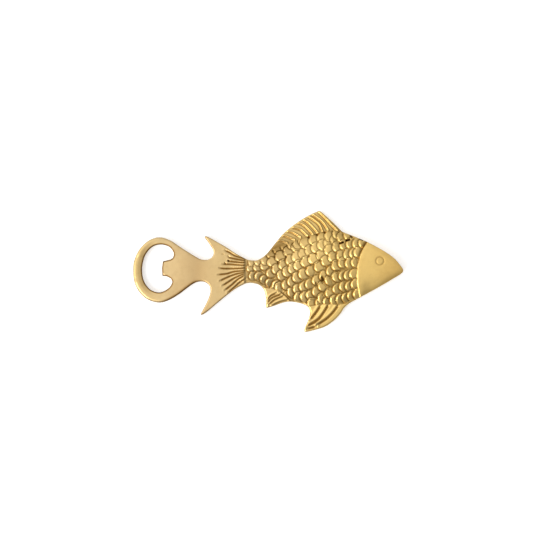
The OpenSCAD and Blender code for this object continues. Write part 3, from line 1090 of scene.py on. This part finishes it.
def brass(name, dark, polish):
    """Satin brass: darkened with dirt and painted shade where it is carved deep and along some edges,
    rubbed and faintly scratched on top.
    """
    make = Shading(name)
    make.shader.inputs["Metallic"].default_value = 1.0
    make.shader.inputs["Coat Roughness"].default_value = SHINE_ROUGHNESS
    dirt = make.attribute("dirt")
    grain = make.noise(*GRAIN)

    # The colour along X is partly painted light: darker at the handle's waist as shade, lighter at the
    # head end
    clean = make.along_x(cad_low.x, cad_high.x, TONES_AND_PAINTED_LIGHT)
    blotches = make.between(make.noise(*BLOTCHES), *BLOTCH_RANGE, 0, WARM_SHARE)
    warm = make.mix(blotches, clean, make.multiply(clean, WARM))
    stains = make.between(make.noise(*STAINS), *STAIN_RANGE, 0, STAIN_DIRT)
    # Dirt and painted shade darken the colour, to the darkest colour where they are deepest
    soiling_and_shade = make.add(dirt, stains)
    grimy_and_shaded = make.mix(make.between(soiling_and_shade, 0, DARK_AT, 0, 1), warm, dark)
    make.into("Base Color", make.mix(make.between(soiling_and_shade, DARK_AT, 1, 0, 1), grimy_and_shaded, BLACKENED_AND_SHADED))
    make.into("Coat Weight", make.between(dirt, 0, DULL_AT, SHINE, 0))

    rubbed = make.between(grain, *GRAIN_RANGE, polish - RUB_SPREAD, polish + RUB_SPREAD)
    make.into("Roughness", make.add(rubbed, make.between(dirt, 0, 1, 0, DIRT_AND_SHADE_ROUGHNESS)))

    scratches = make.noise(*SCRATCHES, SCRATCH_STRETCH)
    height = make.add(make.between(grain, 0, 1, 0, 0.5), make.between(scratches, 0, 1, 0, 0.5))
    make.into("Normal", make.bump(height, SCRATCH_STRENGTH, SCRATCH_DEPTH * MM))
    return make.material


# Name, colour where it is dark with dirt and painted shade, and roughness where it is clean
SMOOTH_BRASS = brass("satin_brass", (0.28, 0.13, 0.02), 0.38)
CARVED_BRASS = brass("carved_brass", (0.25, 0.13, 0.025), 0.32)

# ---------------------------------------------------------------- the casting

built = [build(node) for node in [*NODES, "eye"]]
normals = shared_normals(built)
slots = {s["node"]: s["material_slot"] for s in frame["record"]["subparts"]}
for b, n in zip(built, normals):
    piece = to_object(b, n)
    slot = slots[b["node"]]
    piece.data.materials.append(CARVED_BRASS if slot == "brass_relief" else SMOOTH_BRASS)
    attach(piece, "root")
    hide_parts(b["node"])

# ---------------------------------------------------------------- floor, light and camera

# Lengths are metres from here on. The floor is a square that lies just under the flat back.
FLOOR_HALF = 3.0
FLOOR_GAP = 0.0002
FLOOR_GLOW = 0.4
PAPER = (0.95, 0.95, 0.95, 1)


def floor():
    """Pale paper, which lights the room but is not mirrored in the brass."""
    mesh = bpy.data.meshes.new("floor")
    corners = [(x * FLOOR_HALF, y * FLOOR_HALF, 0) for x, y in ((-1, -1), (1, -1), (1, 1), (-1, 1))]
    mesh.from_pydata(corners, [], [(0, 1, 2, 3)])
    slab = bpy.data.objects.new("floor", mesh)
    bpy.context.scene.collection.objects.link(slab)
    slab.location.z = -FLOOR_GAP
    slab.visible_glossy = False
    material = bpy.data.materials.new("paper")
    material.use_nodes = True
    shader = material.node_tree.nodes["Principled BSDF"]
    shader.inputs["Base Color"].default_value = PAPER
    shader.inputs["Roughness"].default_value = 1.0
    shader.inputs["Specular IOR Level"].default_value = 0.0
    shader.inputs["Emission Color"].default_value = (1, 1, 1, 1)
    shader.inputs["Emission Strength"].default_value = FLOOR_GLOW
    mesh.materials.append(material)


# The direction of the window, and the brightness of the sky: from 0, which is at right angles to
# the window or further round, to 1, which is straight towards it
WINDOW = (-0.7, 0.28, 0.64)
SKY = [
    (0, 0.3), (0.1, 0.4), (0.26, 0.56), (0.42, 0.72), (0.6, 0.82), (0.75, 0.94), (0.88, 1.15),
    (1, 1.45),
]
# Light that comes back from the floor: how high a direction is where it starts and where it is
# full, and how bright it then is
FLOOR_LIGHT = (0.3, -0.2, 0.8)


def sky():
    """Light from all round, brightest from above the opener ring and darkest beyond the nose."""
    world = bpy.data.worlds.new("studio")
    bpy.context.scene.world = world
    world.use_nodes = True
    nodes, links = world.node_tree.nodes, world.node_tree.links
    background = nodes["Background"]
    background.inputs["Strength"].default_value = 1.0
    direction = nodes.new("ShaderNodeTexCoord").outputs["Generated"]
    toward = nodes.new("ShaderNodeVectorMath")
    toward.operation = "DOT_PRODUCT"
    toward.inputs[1].default_value = Vector(WINDOW).normalized()
    links.new(direction, toward.inputs[0])
    brightness = nodes.new("ShaderNodeValToRGB")
    set_stops(brightness, [(position, (value,) * 3) for position, value in SKY])
    links.new(toward.outputs["Value"], brightness.inputs["Fac"])

    axes = nodes.new("ShaderNodeSeparateXYZ")
    links.new(direction, axes.inputs["Vector"])
    from_floor = nodes.new("ShaderNodeMapRange")
    for socket, value in zip(("From Min", "From Max", "To Max"), FLOOR_LIGHT):
        from_floor.inputs[socket].default_value = value
    links.new(axes.outputs["Z"], from_floor.inputs["Value"])
    brighter = nodes.new("ShaderNodeVectorMath")
    brighter.operation = "MAXIMUM"
    links.new(brightness.outputs["Color"], brighter.inputs[0])
    links.new(from_floor.outputs["Result"], brighter.inputs[1])
    links.new(brighter.outputs["Vector"], background.inputs["Color"])


def softbox(name, where, side, power):
    """A square lamp that faces the origin."""
    light = bpy.data.lights.new(name, "AREA")
    light.size = side
    light.energy = power
    lamp = bpy.data.objects.new(name, light)
    bpy.context.scene.collection.objects.link(lamp)
    lamp.location = where
    lamp.rotation_euler = (-Vector(where)).to_track_quat("-Z", "Y").to_euler()


# Width that the camera sees at the opener
FIELD = 0.327
CAMERA_DISTANCE = 1.2
SENSOR_WIDTH = 36
LOOK_AT = Vector((-0.0009, 0.0031, 0.0))
ELEVATION = math.radians(88)


def camera():
    """A long lens almost straight above the opener, as in the photo."""
    data = bpy.data.cameras.new("camera")
    data.sensor_width = SENSOR_WIDTH
    data.lens = data.sensor_width / (FIELD / CAMERA_DISTANCE)
    made = bpy.data.objects.new("camera", data)
    bpy.context.scene.collection.objects.link(made)
    back = Vector((0, -math.cos(ELEVATION), math.sin(ELEVATION)))
    made.location = LOOK_AT + back * CAMERA_DISTANCE
    made.rotation_euler = (-back).to_track_quat("-Z", "Y").to_euler()
    bpy.context.scene.camera = made


floor()
sky()
softbox("key", where=(-0.75, -0.5, 0.75), side=0.8, power=7)
camera()
bpy.context.scene.view_settings.view_transform = "Standard"
bpy.context.scene.view_settings.look = "None"
